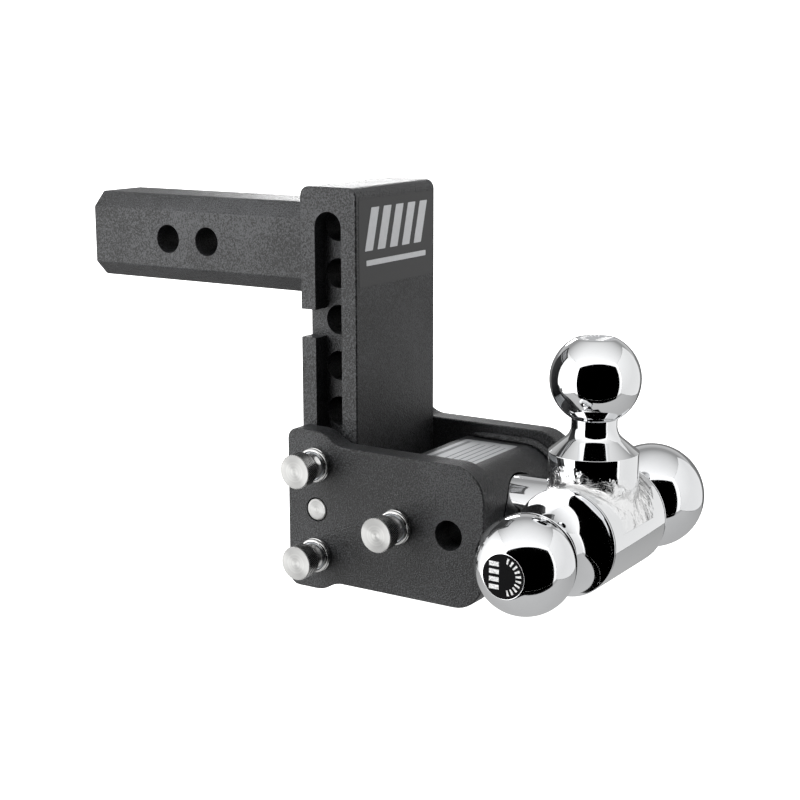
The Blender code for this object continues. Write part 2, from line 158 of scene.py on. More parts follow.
def ground_weld_under_chrome():
    """Weld dressed with a flap disc before plating: swept grinding marks and lumps round the joint, mirror beyond."""
    mat, shader, place = new_material("ground_weld_under_chrome")
    from_barrel = length_across(mat, place, BARREL_CENTRE, (1, 0, 1))
    from_base = length_across(mat, place, BARREL_CENTRE, (1, 1, 0))
    above_barrel = node(mat, "ShaderNodeMath", {"operation": "SUBTRACT", 1: BARREL_R}, {0: from_barrel})
    outside_base = node(mat, "ShaderNodeMath", {"operation": "SUBTRACT", 1: TOP_BASE_R}, {0: from_base})
    from_joint = node(mat, "ShaderNodeMath", {"operation": "MAXIMUM"},
                      {0: above_barrel.outputs[0], 1: outside_base.outputs[0]})
    ragged = node(mat, "ShaderNodeTexNoise", {"Scale": per_mm(6), "Detail": 3.0}, {"Vector": place})
    edge = node(mat, "ShaderNodeMath", {"operation": "MULTIPLY_ADD", 1: 9 * MM},
                {0: ragged.outputs["Fac"], 2: from_joint.outputs[0]})
    zone = node(mat, "ShaderNodeMapRange", {"interpolation_type": "SMOOTHSTEP", "From Min": 6 * MM, "From Max": 15 * MM,
                                            "To Min": 1.0, "To Max": 0.0}, {"Value": edge.outputs[0]})
    height_z = node(mat, "ShaderNodeSeparateXYZ", (), {"Vector": place})
    upper = node(mat, "ShaderNodeMath", {"operation": "GREATER_THAN", 1: BARREL_CENTRE.z + 6 * MM},
                 {0: height_z.outputs["Z"]})
    ground = node(mat, "ShaderNodeMath", {"operation": "MULTIPLY"}, {0: zone.outputs["Result"], 1: upper.outputs[0]})
    # the disc is swept round the base; its 0.1 mm marks are drawn 0.6 mm apart and wander with the hand
    off = node(mat, "ShaderNodeVectorMath", {"operation": "SUBTRACT", 1: BARREL_CENTRE}, {0: place})
    wander = node(mat, "ShaderNodeTexNoise", {"Scale": per_mm(9), "Detail": 1.0}, {"Vector": place})
    swing = node(mat, "ShaderNodeVectorMath", {"operation": "SCALE", "Scale": 11 * MM}, {0: wander.outputs["Color"]})
    hand = node(mat, "ShaderNodeVectorMath", {"operation": "ADD"},
                {0: off.outputs["Vector"], 1: swing.outputs["Vector"]})
    axes = node(mat, "ShaderNodeSeparateXYZ", (), {"Vector": hand.outputs["Vector"]})
    round_base = node(mat, "ShaderNodeMath", {"operation": "ARCTAN2"}, {0: axes.outputs["Y"], 1: axes.outputs["X"]})
    sweep = node(mat, "ShaderNodeMath", {"operation": "MULTIPLY", 1: 2.2 * MM}, {0: round_base.outputs[0]})
    outwards = node(mat, "ShaderNodeMath", {"operation": "ADD"}, {0: from_base, 1: axes.outputs["Z"]})
    lay = node(mat, "ShaderNodeCombineXYZ", (), {"X": outwards.outputs[0], "Y": sweep.outputs[0]})
    marks = node(mat, "ShaderNodeTexNoise", {"Scale": per_mm(0.6), "Detail": 2.0, "Roughness": 0.7},
                 {"Vector": lay.outputs["Vector"]})
    lumps = node(mat, "ShaderNodeTexNoise", {"Scale": per_mm(7), "Detail": 1.0}, {"Vector": place})
    relief = node(mat, "ShaderNodeMath", {"operation": "MULTIPLY_ADD", 1: 3.0},
                  {0: lumps.outputs["Fac"], 2: marks.outputs["Fac"]})
    relief = node(mat, "ShaderNodeMath", {"operation": "MULTIPLY"}, {0: relief.outputs[0], 1: ground.outputs[0]})
    gloss = node(mat, "ShaderNodeMapRange", {"To Min": 0.045, "To Max": 0.19}, {"Value": ground.outputs[0]})
    tone = node(mat, "ShaderNodeMixRGB", {"Color1": colour("#e3e4e5"), "Color2": colour("#ededed")},
                {"Fac": ground.outputs[0]})
    scratch = node(mat, "ShaderNodeBump", {"Strength": 1.0, "Distance": 0.5 * MM}, {"Height": relief.outputs[0]})
    dress(mat, shader, tone, gloss, 1.0, Normal=scratch.outputs["Normal"])
    return mat


def laser_marked_disc(name, field, mark, radius):
    """Flat darkened by a laser: an arc of plain ticks on one side and a block of plain bars on the other."""
    mat, shader, place = new_material(name)
    wrapped = node(mat, "ShaderNodeUVMap", {"uv_map": "round_axis"})
    parts = node(mat, "ShaderNodeSeparateXYZ", (), {"Vector": wrapped.outputs["UV"]})
    out = parts.outputs["Y"]
    # turns from the rearward direction, then the place on the flat as rearward and upward distances
    turn = node(mat, "ShaderNodeMath", {"operation": "SUBTRACT", 1: 0.375}, {0: parts.outputs["X"]}).outputs[0]
    angle = node(mat, "ShaderNodeMath", {"operation": "MULTIPLY", 1: 2 * math.pi}, {0: turn}).outputs[0]
    cosine = node(mat, "ShaderNodeMath", {"operation": "COSINE"}, {0: angle}).outputs[0]
    sine = node(mat, "ShaderNodeMath", {"operation": "SINE"}, {0: angle}).outputs[0]
    rearward = node(mat, "ShaderNodeMath", {"operation": "MULTIPLY"}, {0: cosine, 1: out}).outputs[0]
    upward = node(mat, "ShaderNodeMath", {"operation": "MULTIPLY"}, {0: sine, 1: out}).outputs[0]
    # the ticks: 22 to the turn, in a band near the rim, on the rearward side only
    count = node(mat, "ShaderNodeMath", {"operation": "MULTIPLY", 1: 22.0}, {0: turn}).outputs[0]
    phase = node(mat, "ShaderNodeMath", {"operation": "FRACT"}, {0: count}).outputs[0]
    tick = node(mat, "ShaderNodeMath", {"operation": "COMPARE", 1: 0.5, 2: 0.22}, {0: phase}).outputs[0]
    band = node(mat, "ShaderNodeMath", {"operation": "COMPARE", 1: 0.74 * radius, 2: 0.13 * radius},
                {0: out}).outputs[0]
    rear_side = node(mat, "ShaderNodeMath", {"operation": "GREATER_THAN", 1: 0.12 * radius}, {0: rearward}).outputs[0]
    ring = node(mat, "ShaderNodeMath", {"operation": "MULTIPLY"}, {0: tick, 1: band}).outputs[0]
    ticks = node(mat, "ShaderNodeMath", {"operation": "MULTIPLY"}, {0: ring, 1: rear_side}).outputs[0]
    # the bars: one above the other in a block on the forward side
    rows = node(mat, "ShaderNodeMath", {"operation": "MULTIPLY", 1: 2.9 / radius}, {0: upward}).outputs[0]
    step = node(mat, "ShaderNodeMath", {"operation": "FRACT"}, {0: rows}).outputs[0]
    bars = node(mat, "ShaderNodeMath", {"operation": "COMPARE", 1: 0.5, 2: 0.3}, {0: step}).outputs[0]
    wide = node(mat, "ShaderNodeMath", {"operation": "COMPARE", 1: -0.46 * radius, 2: 0.24 * radius},
                {0: rearward}).outputs[0]
    tall = node(mat, "ShaderNodeMath", {"operation": "COMPARE", 1: 0.0, 2: 0.69 * radius}, {0: upward}).outputs[0]
    strip = node(mat, "ShaderNodeMath", {"operation": "MULTIPLY"}, {0: bars, 1: wide}).outputs[0]
    block = node(mat, "ShaderNodeMath", {"operation": "MULTIPLY"}, {0: strip, 1: tall}).outputs[0]
    marked = node(mat, "ShaderNodeMath", {"operation": "MAXIMUM"}, {0: ticks, 1: block}).outputs[0]
    frost = node(mat, "ShaderNodeTexNoise", {"Scale": per_mm(0.9), "Detail": 3.0}, {"Vector": place})
    worn = node(mat, "ShaderNodeMapRange", {"From Min": 0.3, "From Max": 0.6, "To Min": 0.45, "To Max": 1.0},
                {"Value": frost.outputs["Fac"]})
    shown = node(mat, "ShaderNodeMath", {"operation": "MULTIPLY"}, {0: marked, 1: worn.outputs["Result"]}).outputs[0]
    tone = node(mat, "ShaderNodeMixRGB", {"Color1": colour(field), "Color2": colour(mark)}, {"Fac": shown})
    gloss = node(mat, "ShaderNodeMapRange", {"To Min": 0.45, "To Max": 0.65}, {"Value": frost.outputs["Fac"]})
    shader.inputs["Specular IOR Level"].default_value = 0.1
    dress(mat, shader, tone, gloss)
    return mat


def polished_stainless_steel():
    """Stainless bar turned fine and polished with a cloth: bright, with soft narrow highlights."""
    mat, shader, place = new_material("polished_stainless_steel")
    cloud = node(mat, "ShaderNodeTexNoise", {"Scale": per_mm(5), "Detail": 3.0}, {"Vector": place})
    tone = node(mat, "ShaderNodeMixRGB", {"Color1": colour("#cfcfce"), "Color2": colour("#e8e8e7")},
                {"Fac": cloud.outputs["Fac"]})
    gloss = node(mat, "ShaderNodeMapRange", {"To Min": 0.14, "To Max": 0.24}, {"Value": cloud.outputs["Fac"]})
    dress(mat, shader, tone, gloss, 1.0)
    return mat


def knurled_stainless_steel():
    """Rolled diamond knurl: bright worn points over dull valleys painted near black as painted shade, told apart by the
    teeth's own height.
    """
    mat, shader, place = new_material("knurled_stainless_steel")
    height = node(mat, "ShaderNodeAttribute", {"attribute_name": "tooth_height"})
    wear = node(mat, "ShaderNodeTexNoise", {"Scale": per_mm(2), "Detail": 2.0}, {"Vector": place})
    # the valleys are painted near black as painted shade; the points keep the metal's colour with random wear
    point = node(mat, "ShaderNodeMath", {"operation": "MULTIPLY_ADD", 1: 1.0, 2: -0.25}, {0: height.outputs["Fac"]})
    wear_and_valley_shade = node(mat, "ShaderNodeMath", {"operation": "MULTIPLY_ADD", 1: 0.5},
                 {0: wear.outputs["Fac"], 2: point.outputs[0]})
    tone = node(mat, "ShaderNodeValToRGB", (), {"Fac": wear_and_valley_shade.outputs[0]})
    tone.color_ramp.elements[0].position, tone.color_ramp.elements[1].position = 0.25, 0.8
    tone.color_ramp.elements[0].color = colour("#0a0a0a")
    tone.color_ramp.elements[1].color = colour("#e4e4e3")
    gloss = node(mat, "ShaderNodeMapRange", {"To Min": 0.42, "To Max": 0.22}, {"Value": height.outputs["Fac"]})
    dress(mat, shader, tone, gloss, 1.0)
    return mat


def turned_stainless_steel():
    """Stainless bar faced on a lathe: tool marks run round the axis and pull the highlight into a fan."""
    mat, shader, place = new_material("turned_stainless_steel")
    round_axis = node(mat, "ShaderNodeUVMap", {"uv_map": "round_axis"})
    outwards = node(mat, "ShaderNodeSeparateXYZ", (), {"Vector": round_axis.outputs["UV"]})
    # v is the distance out from the axis in metres; the 0.1 mm feed marks are drawn 1.1 mm apart
    lines = node(mat, "ShaderNodeTexNoise", {"noise_dimensions": "1D", "Scale": per_mm(1.1), "Detail": 2.0},
                 {"W": outwards.outputs["Y"]})
    patch = node(mat, "ShaderNodeTexNoise", {"Scale": per_mm(4), "Detail": 3.0}, {"Vector": place})
    tone = node(mat, "ShaderNodeMixRGB", {"Color1": colour("#b2b2b1"), "Color2": colour("#d8d8d6")},
                {"Fac": lines.outputs["Fac"]})
    gloss = node(mat, "ShaderNodeMapRange", {"To Min": 0.40, "To Max": 0.50}, {"Value": patch.outputs["Fac"]})
    feed = node(mat, "ShaderNodeBump", {"Strength": 0.2, "Distance": 0.05 * MM}, {"Height": lines.outputs["Fac"]})
    run = node(mat, "ShaderNodeTangent", {"direction_type": "UV_MAP", "uv_map": "round_axis"})
    shader.inputs["Anisotropic"].default_value = 0.9
    dress(mat, shader, tone, gloss, 1.0, Normal=feed.outputs["Normal"], Tangent=run.outputs["Tangent"])
    return mat


def zinc_plated_pin_steel():
    """Drawn bar with a clear zinc plate: fine lines along the pin and a slightly blotchy sheen."""
    mat, shader, place = new_material("zinc_plated_pin_steel")
    stretch = node(mat, "ShaderNodeMapping", {"Scale": (1.0, 0.03, 1.0)}, {"Vector": place})
    drawn = node(mat, "ShaderNodeTexNoise", {"Scale": per_mm(0.5), "Detail": 3.0}, {"Vector": stretch.outputs[0]})
    blotch = node(mat, "ShaderNodeTexNoise", {"Scale": per_mm(7), "Detail": 3.0}, {"Vector": place})
    tone = node(mat, "ShaderNodeMixRGB", {"Color1": colour("#a9adb2"), "Color2": colour("#cdd0d4")},
                {"Fac": blotch.outputs["Fac"]})
    gloss = node(mat, "ShaderNodeMapRange", {"To Min": 0.22, "To Max": 0.38}, {"Value": blotch.outputs["Fac"]})
    line = node(mat, "ShaderNodeBump", {"Strength": 0.2, "Distance": 0.06 * MM}, {"Height": drawn.outputs["Fac"]})
    dress(mat, shader, tone, gloss, 1.0, Normal=line.outputs["Normal"])
    return mat


def moulded_nitrile_rubber():
    """Moulded O-ring: dull black with a faint bloom."""
    mat, shader, place = new_material("moulded_nitrile_rubber")
    bloom = node(mat, "ShaderNodeTexNoise", {"Scale": per_mm(1.5), "Detail": 3.0}, {"Vector": place})
    tone = node(mat, "ShaderNodeMixRGB", {"Color1": colour("#101010"), "Color2": colour("#232322")},
                {"Fac": bloom.outputs["Fac"]})
    gloss = node(mat, "ShaderNodeMapRange", {"To Min": 0.62, "To Max": 0.8}, {"Value": bloom.outputs["Fac"]})
    dress(mat, shader, tone, gloss)
    return mat


def printed_film(name, dark, light, low_gloss, high_gloss, metallic):
    """Screen-printed polyester film: even ink with a soft mottle and a smoother gloss than the coat."""
    mat, shader, place = new_material(name)
    mottle = node(mat, "ShaderNodeTexNoise", {"Scale": per_mm(2.5), "Detail": 3.0}, {"Vector": place})
    tone = node(mat, "ShaderNodeMixRGB", {"Color1": colour(dark), "Color2": colour(light)},
                {"Fac": mottle.outputs["Fac"]})
    gloss = node(mat, "ShaderNodeMapRange", {"To Min": low_gloss, "To Max": high_gloss},
                 {"Value": mottle.outputs["Fac"]})
    dress(mat, shader, tone, gloss, metallic)
    return mat


COAT = powder_coated_steel()
CHROME = chrome_plated_steel()
GROUND_WELD = ground_weld_under_chrome()
DARK_MARKS = laser_marked_disc("laser_darkened_flat", "#08080a", "#f6f6f6", 11.2 * MM)
LIGHT_MARKS = laser_marked_disc("laser_frosted_flat", "#8d8e90", "#f0f0f0", 9.6 * MM)
TURNED = turned_stainless_steel()
POLISHED = polished_stainless_steel()
KNURLED = knurled_stainless_steel()
PIN_STEEL = zinc_plated_pin_steel()
RUBBER = moulded_nitrile_rubber()
BLACK_FILM = printed_film("black_polyester_film", "#1e1e1f", "#262627", 0.36, 0.44, 0.0)
GREY_INK = printed_film("light_grey_screen_ink", "#c6c7c9", "#d6d7d9", 0.40, 0.50, 0.0)
SILVER_FILM = printed_film("silver_polyester_film", "#8e9092", "#a6a8aa", 0.34, 0.46, 0.5)
DARK_INK = printed_film("dark_grey_screen_ink", "#4a4c4e", "#5d5f61", 0.40, 0.50, 0.0)


# ---------------------------------------------------------------- bench tools

def put_down():
    """Leaves edit mode with nothing selected."""
    if bpy.context.object and bpy.context.object.mode != "OBJECT":
        bpy.ops.object.mode_set(mode="OBJECT")
    bpy.ops.object.select_all(action="DESELECT")


def pick_up(piece):
    """Makes this the only selected piece, and the active one."""
    put_down()
    bpy.context.view_layer.objects.active = piece
    piece.select_set(True)


def apply_all(piece):
    """Applies every modifier in order."""
    pick_up(piece)
    for modifier in list(piece.modifiers):
        bpy.ops.object.modifier_apply(modifier=modifier.name)


def smooth(piece, degrees=32):
    """Shades smooth, but keeps every edge sharper than this angle."""
    pick_up(piece)
    bpy.ops.object.shade_smooth_by_angle(angle=math.radians(degrees))


def deliver(piece, mat, body, slot, *nodes):
    """Gives a finished piece its material and body, and hides the CAD nodes it stands for. The slot is not used."""
    piece.data.materials.clear()
    piece.data.materials.append(mat)
    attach(piece, body)
    if nodes:
        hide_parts(*nodes)


def turn_on_lathe(name, centre, along, outline, steps=96, hollow=False):
    """Starts a disc, or an open ring, square to the axis and extrudes it through (radius, height) steps."""
    put_down()
    radius, height = outline[0]
    bpy.ops.mesh.primitive_circle_add(
        vertices=steps, radius=radius, fill_type="NOTHING" if hollow else "NGON",
        location=centre + along * height, rotation=along.to_track_quat("Z", "Y").to_euler())
    piece = bpy.context.object
    piece.name = piece.data.name = name
    bpy.ops.object.transform_apply(location=True, rotation=True, scale=True)
    bpy.ops.object.mode_set(mode="EDIT")
    bpy.ops.mesh.select_all(action="SELECT")
    for next_radius, next_height in outline[1:]:
        bpy.ops.mesh.extrude_region_move(TRANSFORM_OT_translate={"value": along * (next_height - height)})
        grow = next_radius / radius
        bpy.ops.transform.resize(value=(grow, grow, grow), center_override=centre + along * next_height)
        radius, height = next_radius, next_height
    bpy.ops.mesh.select_all(action="SELECT")
    bpy.ops.mesh.remove_doubles(threshold=1e-6)
    bpy.ops.mesh.normals_make_consistent(inside=False)
    bpy.ops.object.mode_set(mode="OBJECT")
    smooth(piece)
    return piece


def wrap_round(piece, centre, along):
    """UV map for turned marks: u goes round the axis, v is the distance out from it and along it."""
    across = along.orthogonal().normalized()
    third = along.cross(across)
    layer = piece.data.uv_layers.new(name="round_axis")
    vertices = piece.data.vertices
    for face in piece.data.polygons:
        middle = face.center - centre
        middle_turn = math.atan2(middle.dot(third), middle.dot(across))
        for loop in face.loop_indices:
            spot = vertices[piece.data.loops[loop].vertex_index].co - centre
            turn = math.atan2(spot.dot(third), spot.dot(across))
            turn += 2 * math.pi * round((middle_turn - turn) / (2 * math.pi))
            out = (spot - along * spot.dot(along)).length
            layer.data[loop].uv = (turn / (2 * math.pi), out - spot.dot(along))


def cut_away(piece, cutter):
    """Subtracts a closed piece and removes it."""
    modifier = piece.modifiers.new("cut", "BOOLEAN")
    modifier.operation, modifier.solver, modifier.object = "DIFFERENCE", "EXACT", cutter
    apply_all(piece)
    bpy.data.objects.remove(cutter, do_unlink=True)


def keep_main_part(piece):
    """Closes the slivers of a cut and drops any crumb that it left loose."""
    pick_up(piece)
    bpy.ops.object.mode_set(mode="EDIT")
    bpy.ops.mesh.select_all(action="SELECT")
    bpy.ops.mesh.remove_doubles(threshold=1e-5)
    bpy.ops.mesh.dissolve_degenerate(threshold=1e-6)
    bpy.ops.mesh.separate(type="LOOSE")
    bpy.ops.object.mode_set(mode="OBJECT")
    parts = sorted(bpy.context.selected_objects, key=lambda part: len(part.data.vertices))
    largest = parts[-1]
    if largest is not piece:
        piece.data, largest.data = largest.data, piece.data
    for part in parts:
        if part is not piece:
            bpy.data.objects.remove(part, do_unlink=True)


def arc(cx, cy, radius, start, end, steps):
    """Points (radius, height) on an arc between two angles in degrees, ends included."""
    turns = [math.radians(start + (end - start) * i / steps) for i in range(steps + 1)]
    return [(cx + radius * math.cos(t), cy + radius * math.sin(t)) for t in turns]


def open_blank(name, node_name):
    """Copies a CAD shape under a new name, joins its doubled corners and leaves it open in edit mode."""
    put_down()
    piece = NODES[node_name].copy()
    piece.data = NODES[node_name].data.copy()
    for key in list(piece.keys()):
        del piece[key]
    piece.parent = None
    bpy.context.scene.collection.objects.link(piece)
    piece.name = piece.data.name = name
    pick_up(piece)
    bpy.ops.object.mode_set(mode="EDIT")
    bpy.ops.mesh.select_all(action="SELECT")
    bpy.ops.mesh.remove_doubles(threshold=2e-6)
    return piece


def fabricated(name, node_name, edge):
    """A sawn and drilled steel piece: the CAD shape with its edges broken and rounded by the coat."""
    piece = open_blank(name, node_name)
    bpy.ops.mesh.dissolve_limited(angle_limit=math.radians(0.6))
    bpy.ops.object.mode_set(mode="OBJECT")
    bevel = piece.modifiers.new("broken_edge", "BEVEL")
    bevel.width, bevel.segments = edge, 3
    bevel.limit_method, bevel.angle_limit = "ANGLE", math.radians(28)
    apply_all(piece)
    smooth(piece, 40)
    even = piece.modifiers.new("flat_faces_stay_flat", "WEIGHTED_NORMAL")
    even.mode, even.weight, even.keep_sharp = "FACE_AREA", 100, True
    apply_all(piece)
    deliver(piece, COAT, "hitch", "coat", node_name)


# ---------------------------------------------------------------- steelwork

def make_steelwork():
    """The coated steel: bar, column, plates and housing, each with its own edge break."""
    fabricated("shank_bar", "shank", 0.45 * MM)
    fabricated("column_block", "column", 0.45 * MM)
    fabricated("side_plate_near", "plate_near", 0.6 * MM)
    fabricated("side_plate_far", "plate_far", 0.6 * MM)
    fabricated("shaft_housing", "housing", 0.5 * MM)


def fused_bead(name, node_name):
    """A weld bead under the coat: the CAD run rounded off."""
    piece = open_blank(name, node_name)
    bpy.ops.mesh.tris_convert_to_quads(face_threshold=math.radians(60), shape_threshold=math.radians(60))
    bpy.ops.object.mode_set(mode="OBJECT")
    rounding = piece.modifiers.new("rounding", "SUBSURF")
    rounding.levels = rounding.render_levels = 2
    apply_all(piece)
    smooth(piece, 50)
    deliver(piece, COAT, "hitch", "coat", node_name)


def make_welds():
    """The three weld runs that lie under the coat."""
    fused_bead("shank_weld_run", "shank_weld")
    fused_bead("housing_weld_run_near", "housing_weld_near")
    fused_bead("housing_weld_run_far", "housing_weld_far")


# ---------------------------------------------------------------- ball head

BALL_EDGE = 0.5 * MM                # the rounding of a ball's skirt
NEAR_BALL_R, NEAR_NECK_R = 25.4 * MM, 12.9 * MM      # 2 in
FAR_BALL_R, FAR_NECK_R = 29.35 * MM, 14.0 * MM       # 2-5/16 in
TOP_BALL_R, TOP_NECK_R = 23.8 * MM, 12.0 * MM        # 1-7/8 in
SIDE_FLAT_R, TOP_FLAT_R = 12.0 * MM, 10.4 * MM
MARK_MARGIN = 0.8 * MM              # from the flat's edge to its marked skin
SKIRT_AT = -38.0 * MM               # top of the top ball's skirt, from the ball's centre
SKIRT_SLOPE, SKIRT_FILLET = 38, 9 * MM
SADDLE_HALF = 50 * MM               # cutters reach well past what they cut
ROOM_REACH = 80 * MM
CROSS_BORE_R = 8.15 * MM


def ball_outline(ball_r, flat_r, neck_r, skirt_r, skirt_at, base_at, slope, fillet):
    """(radius, height) from the base to the crown; heights are from the ball's centre.

    The skirt is a cone at this slope in degrees that runs into the neck through the fillet.
    """
    outline = [(skirt_r - BALL_EDGE, base_at)]
    outline += arc(skirt_r - BALL_EDGE, base_at + BALL_EDGE, BALL_EDGE, -60, 0, 3)
    outline += [(skirt_r, skirt_at - BALL_EDGE)]
    outline += arc(skirt_r - BALL_EDGE, skirt_at - BALL_EDGE, BALL_EDGE, 20, 70, 3)
    lean = math.radians(slope)
    fillet_at = skirt_at + (fillet - (neck_r + fillet - skirt_r) * math.sin(lean)) / math.cos(lean)
    outline += arc(neck_r + fillet, fillet_at, fillet, 268 - slope, 180, 20)
    neck_turn = -math.degrees(math.acos(neck_r / ball_r))
    flat_turn = math.degrees(math.acos(flat_r / ball_r))
    outline += arc(0, 0, ball_r, neck_turn, flat_turn - 1.2, 56)
    flat_at = ball_r * math.sin(math.radians(flat_turn))
    recess = flat_r - 0.7 * MM
    return outline + [(flat_r - 0.35 * MM, flat_at), (recess, flat_at), (recess, flat_at - 0.12 * MM),
                      (0.5 * MM, flat_at - 0.12 * MM)]


def mark_flat(name, flat_centre, along, radius, mat):
    """Thin marked skin in the recess of a ball's flat."""
    disc = turn_on_lathe(name, flat_centre - along * 0.11 * MM, along,
                         [(radius, 0), (radius, 0.06 * MM), *[(radius * k / 8, 0.06 * MM) for k in range(7, 0, -1)],
                          (0.02 * MM, 0.06 * MM)], 96)
    wrap_round(disc, flat_centre, along)
    disc.data.materials.append(mat)
    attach(disc, "hitch")


def make_side_ball(name, node_name, along, ball_r, flat_r, neck_r):
    """One of the two balls on the barrel's ends: its neck flares out to the barrel's own radius."""
    low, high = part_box(node_name)
    middle = (low + high) / 2
    reach = (high - low).y / 2
    flat_at = math.sqrt(ball_r ** 2 - flat_r ** 2)
    centre = middle + along * (reach - flat_at)
    base_at = flat_at - 2 * reach
    outline = ball_outline(ball_r, flat_r, neck_r, BARREL_R, base_at + 1.2 * MM, base_at, 0, BARREL_R - neck_r)
    piece = turn_on_lathe(name, centre, along, outline, 128)
    mark_flat(name + "_marks", centre + along * flat_at, along, flat_r - MARK_MARGIN, DARK_MARKS)
    deliver(piece, CHROME, "hitch", "chrome", node_name)


def barrel_blank(name, grow, half):
    """The barrel with broken edges; grown and lengthened it is the cutter that fits pieces to it."""
    edge = 0.45 * MM
    radius = BARREL_R + grow
    outline = [(radius - edge, -half), *arc(radius - edge, -half + edge, edge, -60, 0, 3),
               *arc(radius - edge, half - edge, edge, 0, 60, 3), (radius - edge, half)]
    return turn_on_lathe(name, BARREL_CENTRE, TOWARDS_FAR, outline, 160)


def round_room(name, along, radius, length):
    """Cutter that clears a round branch from the barrel's centre outwards."""
    return turn_on_lathe(name, BARREL_CENTRE, along, [(radius, 0), (radius, length)], 96)


def saddle_weld(name, node_name, along, falls, branch_r, leg, other, other_r):
    """Dressed fillet between a round branch and the barrel: a turned ring laid over the barrel's curve."""
    inner = branch_r + TOUCH
    outline = [(inner, 0), (inner + leg, 0), *arc(inner + leg, leg, leg, 265, 185, 8), (inner, leg), (inner, 0)]
    weld = turn_on_lathe(name, BARREL_CENTRE, along, outline, 140, hollow=True)
    for vertex in weld.data.vertices:
        aside = (vertex.co - BARREL_CENTRE).dot(falls)
        vertex.co += along * math.sqrt((BARREL_R + TOUCH) ** 2 - aside ** 2)
    cut_away(weld, round_room("room", other, other_r, ROOM_REACH))
    keep_main_part(weld)
    smooth(weld, 40)
    deliver(weld, GROUND_WELD, "hitch", "ground_weld", node_name)


def make_ball_head():
    """Barrel, three balls with their marks, the shaft with its two cross holes, and both dressed welds."""
    saddle_weld("top_ball_weld_run", "ball_top_weld", UP, REARWARD, TOP_BASE_R, TOP_WELD_LEG,
                FORWARD, SHAFT_R + TOUCH)
    saddle_weld("shaft_weld_run", "shaft_weld", FORWARD, UP, SHAFT_R, SHAFT_WELD_LEG,
                UP, TOP_BASE_R + TOP_WELD_LEG + 2 * TOUCH)
    deliver(barrel_blank("cross_barrel", 0, BARREL_HALF), GROUND_WELD, "hitch", "chrome", "barrel")
    make_side_ball("two_inch_ball", "ball_near", TOWARDS_NEAR, NEAR_BALL_R, SIDE_FLAT_R, NEAR_NECK_R)
    make_side_ball("large_ball", "ball_far", TOWARDS_FAR, FAR_BALL_R, SIDE_FLAT_R, FAR_NECK_R)

    flat_at = math.sqrt(TOP_BALL_R ** 2 - TOP_FLAT_R ** 2)
    centre = Vector((BARREL_CENTRE.x, BARREL_CENTRE.y, base_high.z - flat_at))
    outline = ball_outline(TOP_BALL_R, TOP_FLAT_R, TOP_NECK_R, TOP_BASE_R, SKIRT_AT,
                           base_low.z - centre.z - 1 * MM, SKIRT_SLOPE, SKIRT_FILLET)
    ball = turn_on_lathe("top_ball", centre, UP, outline, 128)
    cut_away(ball, barrel_blank("saddle", TOUCH, SADDLE_HALF))
    smooth(ball)
    deliver(ball, GROUND_WELD, "hitch", "chrome", "ball_top")
    mark_flat("top_ball_marks", centre + UP * flat_at, UP, TOP_FLAT_R - MARK_MARGIN, LIGHT_MARKS)

    foot = Vector((shaft_low.x, BARREL_CENTRE.y, BARREL_CENTRE.z))
    outline = [(SHAFT_R - 1.5 * MM, 0), (SHAFT_R - 0.3 * MM, 1.2 * MM), (SHAFT_R, 1.8 * MM),
               (SHAFT_R, BARREL_CENTRE.x - foot.x)]
    shaft = turn_on_lathe("head_shaft", foot, REARWARD, outline, 112)
    cut_away(shaft, barrel_blank("shaft_saddle", TOUCH, SADDLE_HALF))
    cut_away(shaft, round_room("base_room", UP, TOP_BASE_R + TOUCH, ROOM_REACH))
    for x in (PIN_AT["ball"].x, SPARE_X):
        start = Vector((x, -SADDLE_HALF, BARREL_CENTRE.z))
        bore = turn_on_lathe("bore", start, TOWARDS_FAR, [(CROSS_BORE_R, 0), (CROSS_BORE_R, 2 * SADDLE_HALF)], 64)
        cut_away(shaft, bore)
    keep_main_part(shaft)
    smooth(shaft)
    deliver(shaft, CHROME, "hitch", "chrome", "ball_shaft")


# ---------------------------------------------------------------- pins

def pin_place(name):
    """A pin's axis in X and Z, taken from its knob."""
    low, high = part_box("knob_" + name)
    return Vector(((low.x + high.x) / 2, 0, (low.z + high.z) / 2))


PIN_AT = {name: pin_place(name) for name in ("lower", "upper", "ball")}
SPARE = next(o for o in frame["record"]["physics"]["openings"] if o["name"] == "spare_pin_hole")
SPARE_X = (SPARE["box_m"][0][0] + SPARE["box_m"][1][0]) / 2

KNURL_TEETH = 42                    # round the rim, 1.4 mm apart
KNURL_ROW = 0.68 * MM
KNURL_DEPTH = 0.55 * MM
KNOB_NECK = 6.8 * MM                # the neck's length, from the collar to the head
NECK_R, WAIST = 7.2 * MM, 0.9 * MM
COLLAR_BORE_R = 8.1 * MM
BAND_GAP = 0.02 * MM                # between the knurled band and its seat


